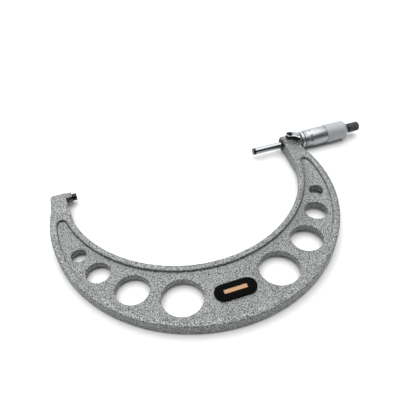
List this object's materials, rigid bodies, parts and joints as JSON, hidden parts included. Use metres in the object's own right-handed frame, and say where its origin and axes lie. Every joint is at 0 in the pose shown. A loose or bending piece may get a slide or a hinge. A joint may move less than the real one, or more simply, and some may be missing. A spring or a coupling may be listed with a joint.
{
  "type": "outside micrometer",
  "caption": "Large outside micrometer: deep C-shaped cast frame with lightening holes, anvil, screw spindle, graduated thimble, ratchet stop and spindle lock lever.",
  "frame": {"origin": "centre of the anvil's flat measuring face", "axes": "+X along the measuring axis, from the anvil towards the spindle and thimble; +Z square to the frame, out of the face that carries the lock lever; the bow hangs towards -Y"},
  "size_m": [0.3197, 0.1823, 0.0209],
  "materials": {
    "hammered_enamel": "silver-grey hammered enamel on a casting",
    "ground_steel": "ground and polished hardened steel",
    "carbide": "lapped tungsten carbide",
    "dark_steel": "oiled dark steel",
    "polished_chrome": "bright chrome plate",
    "satin_chrome": "satin chrome plate",
    "black_oxide": "knurled steel, black oxide",
    "spring_steel": "bright turned steel",
    "brass": "turned brass",
    "gold_foil": "gold foil strip",
    "black_plastic": "moulded black phenolic"
  },
  "bodies": {
    "frame": {"frame": "hammered_enamel", "anvil": "ground_steel", "anvil_carbide_tip": "carbide", "anvil_bush": "dark_steel", "front_insulating_plate": "black_plastic", "back_insulating_plate": "black_plastic", "plate_label": "gold_foil", "boss_seal": "black_plastic", "guide_sleeve": "spring_steel", "adjusting_nut": "spring_steel", "graduated_sleeve": "satin_chrome", "lock_collet": "brass"},
    "spindle_tip": {"spindle_carbide_tip": "carbide"},
    "spindle": {"spindle": "ground_steel", "thimble": "satin_chrome", "ratchet_base": "black_oxide", "ratchet_screw": "dark_steel"},
    "ratchet": {"ratchet_sleeve": "black_oxide", "ratchet_cap": "black_oxide", "ratchet_spring": "spring_steel"},
    "lock": {"lock_lever": "polished_chrome", "lock_screw": "black_oxide"}
  },
  "joints": [
    {"name": "spindle_feed", "type": "slide", "parent": "frame", "child": "spindle_tip", "axis": [1, 0, 0], "range_m": [0, 0.025]},
    {"name": "thimble_turn", "type": "hinge", "parent": "spindle_tip", "child": "spindle", "pos_m": [0.175, 0, 0], "axis": [1, 0, 0], "range_deg": [0, 18000]},
    {"name": "ratchet_slip", "type": "hinge", "parent": "spindle", "child": "ratchet", "pos_m": [0.286, 0, 0], "axis": [1, 0, 0], "continuous": true},
    {"name": "lock_lever_turn", "type": "hinge", "parent": "frame", "child": "lock", "pos_m": [0.214, 0, 0.00975], "axis": [0, 0, 1], "range_deg": [-40, 20]}
  ],
  "couplings": [
    {"joint": "thimble_turn", "follows": "spindle_feed", "rad_per_m": 12566}
  ]
}
